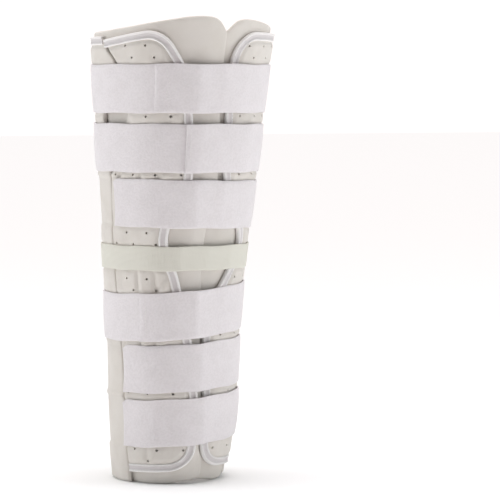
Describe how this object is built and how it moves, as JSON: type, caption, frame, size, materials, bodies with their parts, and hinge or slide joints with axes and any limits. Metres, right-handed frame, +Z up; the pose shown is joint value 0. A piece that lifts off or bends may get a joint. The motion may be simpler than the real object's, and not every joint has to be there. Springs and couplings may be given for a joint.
{
  "type": "knee immobilizer",
  "caption": "Off-white three-panel knee immobilizer closed round the leg by broad loop straps and a narrow elastic knee strap.",
  "frame": {"origin": "centre of the overall box at the level of the lower rim that it stands on", "axes": "+Z up the leg, -Y towards the kneecap, +X towards the flap that is tucked under"},
  "size_m": [0.195, 0.2026, 0.4951],
  "materials": {
    "foam_laminate": "matt brushed cloth over foam",
    "binding_tape": "ribbed binding tape",
    "loop_strap": "matt loop pile",
    "knit_elastic": "ribbed knit elastic"
  },
  "bodies": {
    "root": {"liner": "foam_laminate", "left_panel": "foam_laminate", "left_panel_binding": "binding_tape", "right_panel": "foam_laminate", "right_panel_binding": "binding_tape", "back_panel": "foam_laminate", "back_panel_binding": "binding_tape", "thigh_strap_top": "loop_strap", "thigh_strap_middle": "loop_strap", "thigh_strap_lower": "loop_strap", "knee_elastic_strap": "knit_elastic", "calf_strap_upper": "loop_strap", "calf_strap_middle": "loop_strap", "calf_strap_lower": "loop_strap"}
  },
  "joints": []
}
